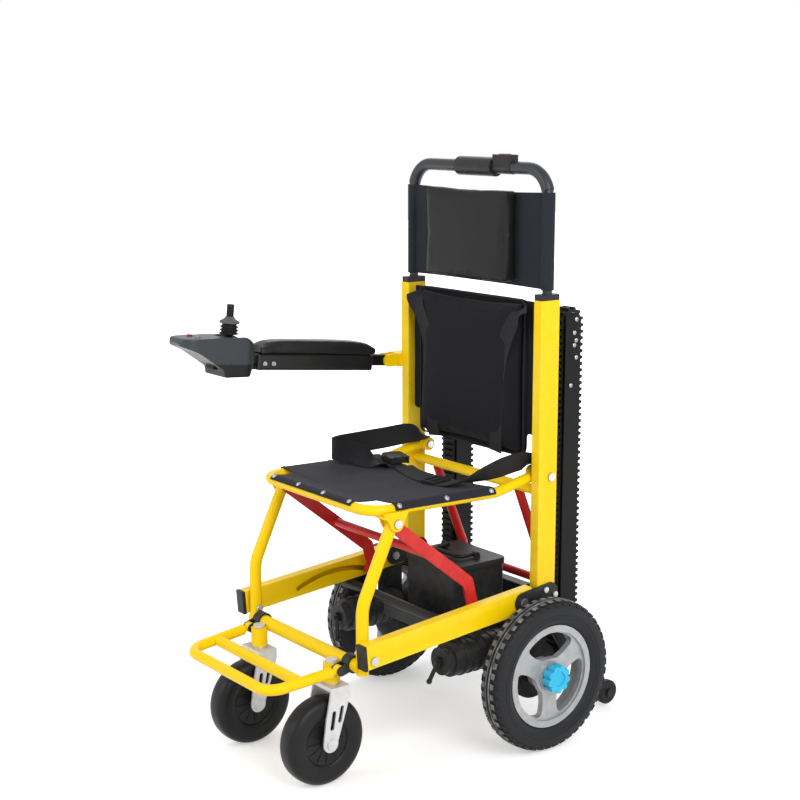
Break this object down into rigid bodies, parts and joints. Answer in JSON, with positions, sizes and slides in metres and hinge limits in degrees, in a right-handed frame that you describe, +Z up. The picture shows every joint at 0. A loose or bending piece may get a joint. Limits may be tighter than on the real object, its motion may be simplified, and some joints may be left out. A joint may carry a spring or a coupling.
{
  "type": "stair climbing wheelchair",
  "caption": "Folding powered wheelchair with a yellow box frame, black sling seat, joystick arm rest and swing-out rubber stair tracks behind the back rest.",
  "frame": {"origin": "on the floor, under the middle of the overall box", "axes": "+Z up, -Y the way the chair faces, +X the occupant's left"},
  "size_m": [0.628, 0.9, 1.2175],
  "materials": {
    "yellow_paint": "gloss",
    "red_paint": "gloss",
    "black_paint": "satin",
    "black_plastic": "matte",
    "grey_plastic": "matte",
    "black_rubber": "matte",
    "tyre": "matte",
    "cast_rim": "satin",
    "black_alloy": "satin",
    "steel": "satin",
    "cyan_plastic": "gloss",
    "red_plastic": "gloss",
    "light_plastic": "matte",
    "black_fabric": "woven",
    "black_padding": "woven"
  },
  "bodies": {
    "base": {"lower_rails": "yellow_paint", "rail_end_caps": "black_plastic", "rail_bolts": "steel", "axle_beam": "black_paint", "battery_case": "black_plastic", "drive_units": "black_paint"},
    "battery_handle": {"battery_handle": "black_plastic"},
    "brake_lever_left": {"brake_lever_left": "black_plastic"},
    "brake_lever_right": {"brake_lever_right": "black_plastic"},
    "rear_wheel_left": {"rear_tyre_left": "tyre", "rear_rim_left": "cast_rim"},
    "rear_wheel_right": {"rear_tyre_right": "tyre", "rear_rim_right": "cast_rim"},
    "hub_knob_left": {"hub_knob_left": "cyan_plastic"},
    "hub_knob_right": {"hub_knob_right": "cyan_plastic"},
    "back_frame": {"uprights": "yellow_paint", "upright_caps": "black_plastic", "cross_tubes": "yellow_paint", "gusset_plates": "black_paint", "upright_bolts": "steel", "track_carrier": "red_paint", "track_motor": "black_paint", "back_panel": "black_fabric", "back_pad": "black_padding", "shoulder_straps": "black_fabric"},
    "front_frame": {"front_frame": "yellow_paint", "footrest_clamps": "black_paint"},
    "seat": {"seat_frame": "yellow_paint", "seat_sling": "black_fabric", "brace": "red_paint", "bracket_bolts": "steel", "lap_belts": "black_fabric", "belt_buckle": "black_plastic"},
    "footrest": {"footrest": "yellow_paint"},
    "caster_fork_left": {"caster_fork_left": "steel"},
    "caster_fork_right": {"caster_fork_right": "steel"},
    "caster_wheel_left": {"caster_tyre_left": "tyre", "caster_rim_left": "black_plastic"},
    "caster_wheel_right": {"caster_tyre_right": "tyre", "caster_rim_right": "black_plastic"},
    "handle": {"push_handle": "black_paint", "head_panel": "black_fabric", "head_pad": "black_padding", "handle_pod": "black_plastic"},
    "handle_switch": {"handle_switch": "red_plastic"},
    "armrest": {"arm_beam": "black_alloy", "arm_pad": "black_padding", "controller_case": "grey_plastic", "controller_cable": "black_rubber"},
    "joystick_gimbal": {"joystick_gimbal": "steel"},
    "joystick": {"joystick": "black_rubber"},
    "button_power": {"button_power": "red_plastic"},
    "button_horn": {"button_horn": "light_plastic"},
    "track_frame": {"track_frames": "black_alloy", "track_belts": "black_rubber"},
    "track_drive_shaft": {"track_drive_shaft": "steel"},
    "track_idler_shaft": {"track_idler_shaft": "steel"},
    "track_pedal": {"track_pedal": "red_paint"},
    "antitip_wheel_left": {"antitip_wheel_left": "black_rubber"},
    "antitip_wheel_right": {"antitip_wheel_right": "black_rubber"}
  },
  "joints": [
    {"name": "frame_fold", "type": "hinge", "parent": "base", "child": "back_frame", "pos_m": [0, 0.131, 0.30965], "axis": [1, 0, 0], "range_deg": [0, 40]},
    {"name": "front_leg_fold", "type": "hinge", "parent": "base", "child": "front_frame", "pos_m": [0, -0.249, 0.2674], "axis": [1, 0, 0], "range_deg": [0, 40]},
    {"name": "seat_fold", "type": "hinge", "parent": "back_frame", "child": "seat", "pos_m": [0, 0.20404, 0.56438], "axis": [1, 0, 0], "range_deg": [-40, 0]},
    {"name": "battery_handle_lift", "type": "hinge", "parent": "base", "child": "battery_handle", "pos_m": [0, 0.156, 0.3655], "axis": [-1, 0, 0], "range_deg": [0, 85]},
    {"name": "brake_release_left", "type": "hinge", "parent": "base", "child": "brake_lever_left", "pos_m": [0.178, -0.0455, 0.206], "axis": [0, 1, 0], "range_deg": [0, 60]},
    {"name": "rear_wheel_spin_left", "type": "hinge", "parent": "base", "child": "rear_wheel_left", "pos_m": [0.27, 0.161, 0.16], "axis": [1, 0, 0], "continuous": true},
    {"name": "hub_knob_turn_left", "type": "hinge", "parent": "rear_wheel_left", "child": "hub_knob_left", "pos_m": [0.3, 0.161, 0.16], "axis": [1, 0, 0], "range_deg": [0, 90]},
    {"name": "caster_swivel_left", "type": "hinge", "parent": "front_frame", "child": "caster_fork_left", "pos_m": [0.131, -0.28, 0.225], "axis": [0, 0, 1], "continuous": true},
    {"name": "caster_spin_left", "type": "hinge", "parent": "caster_fork_left", "child": "caster_wheel_left", "pos_m": [0.131, -0.305, 0.09], "axis": [1, 0, 0], "continuous": true},
    {"name": "antitip_spin_left", "type": "hinge", "parent": "base", "child": "antitip_wheel_left", "pos_m": [0.1885, 0.423, 0.034], "axis": [1, 0, 0], "continuous": true},
    {"name": "brake_release_right", "type": "hinge", "parent": "base", "child": "brake_lever_right", "pos_m": [-0.178, -0.0455, 0.206], "axis": [0, -1, 0], "range_deg": [0, 60]},
    {"name": "rear_wheel_spin_right", "type": "hinge", "parent": "base", "child": "rear_wheel_right", "pos_m": [-0.27, 0.161, 0.16], "axis": [1, 0, 0], "continuous": true},
    {"name": "hub_knob_turn_right", "type": "hinge", "parent": "rear_wheel_right", "child": "hub_knob_right", "pos_m": [-0.3, 0.161, 0.16], "axis": [-1, 0, 0], "range_deg": [0, 90]},
    {"name": "caster_swivel_right", "type": "hinge", "parent": "front_frame", "child": "caster_fork_right", "pos_m": [-0.131, -0.28, 0.225], "axis": [0, 0, 1], "continuous": true},
    {"name": "caster_spin_right", "type": "hinge", "parent": "caster_fork_right", "child": "caster_wheel_right", "pos_m": [-0.131, -0.305, 0.09], "axis": [1, 0, 0], "continuous": true},
    {"name": "antitip_spin_right", "type": "hinge", "parent": "base", "child": "antitip_wheel_right", "pos_m": [-0.1885, 0.423, 0.034], "axis": [1, 0, 0], "continuous": true},
    {"name": "footrest_fold", "type": "hinge", "parent": "front_frame", "child": "footrest", "pos_m": [0, -0.284, 0.237], "axis": [-1, 0, 0], "range_deg": [0, 80]},
    {"name": "handle_slide", "type": "slide", "parent": "back_frame", "child": "handle", "axis": [0, 0, 1], "range_m": [0, 0.15]},
    {"name": "handle_switch_rock", "type": "hinge", "parent": "handle", "child": "handle_switch", "pos_m": [0.085, 0.197, 1.211], "axis": [0, 1, 0], "range_deg": [-8, 8], "stiffness_Nm_per_rad": 0.05},
    {"name": "armrest_lift", "type": "hinge", "parent": "back_frame", "child": "armrest", "pos_m": [-0.253, 0.143, 0.752], "axis": [-1, 0, 0], "range_deg": [0, 72]},
    {"name": "joystick_pitch", "type": "hinge", "parent": "armrest", "child": "joystick_gimbal", "pos_m": [-0.253, -0.26842, 0.81736], "axis": [1, 0, 0], "range_deg": [-15, 15], "stiffness_Nm_per_rad": 0.8},
    {"name": "joystick_roll", "type": "hinge", "parent": "joystick_gimbal", "child": "joystick", "pos_m": [-0.253, -0.26842, 0.81736], "axis": [0, 0.9945, -0.1045], "range_deg": [-15, 15], "stiffness_Nm_per_rad": 0.8},
    {"name": "button_power_press", "type": "slide", "parent": "armrest", "child": "button_power", "axis": [0, -0.1045, -0.9945], "range_m": [0, 0.0015], "stiffness_N_per_m": 300},
    {"name": "button_horn_press", "type": "slide", "parent": "armrest", "child": "button_horn", "axis": [0, -0.1045, -0.9945], "range_m": [0, 0.0015], "stiffness_N_per_m": 300},
    {"name": "track_swing", "type": "hinge", "parent": "back_frame", "child": "track_frame", "pos_m": [0, 0.292, 0.165], "axis": [-1, 0, 0], "range_deg": [0, 35]},
    {"name": "track_drive", "type": "hinge", "parent": "track_frame", "child": "track_drive_shaft", "pos_m": [0, 0.292, 0.165], "axis": [1, 0, 0], "continuous": true},
    {"name": "track_idle", "type": "hinge", "parent": "track_frame", "child": "track_idler_shaft", "pos_m": [0, 0.292, 0.872], "axis": [1, 0, 0], "continuous": true},
    {"name": "track_pedal_press", "type": "hinge", "parent": "back_frame", "child": "track_pedal", "pos_m": [-0.075, 0.258, 0.314], "axis": [1, 0, 0], "range_deg": [0, 12], "stiffness_Nm_per_rad": 2}
  ],
  "couplings": [
    {"joint": "front_leg_fold", "follows": "frame_fold", "ratio": 1},
    {"joint": "seat_fold", "follows": "frame_fold", "ratio": -1},
    {"joint": "track_idle", "follows": "track_drive", "ratio": 1}
  ]
}
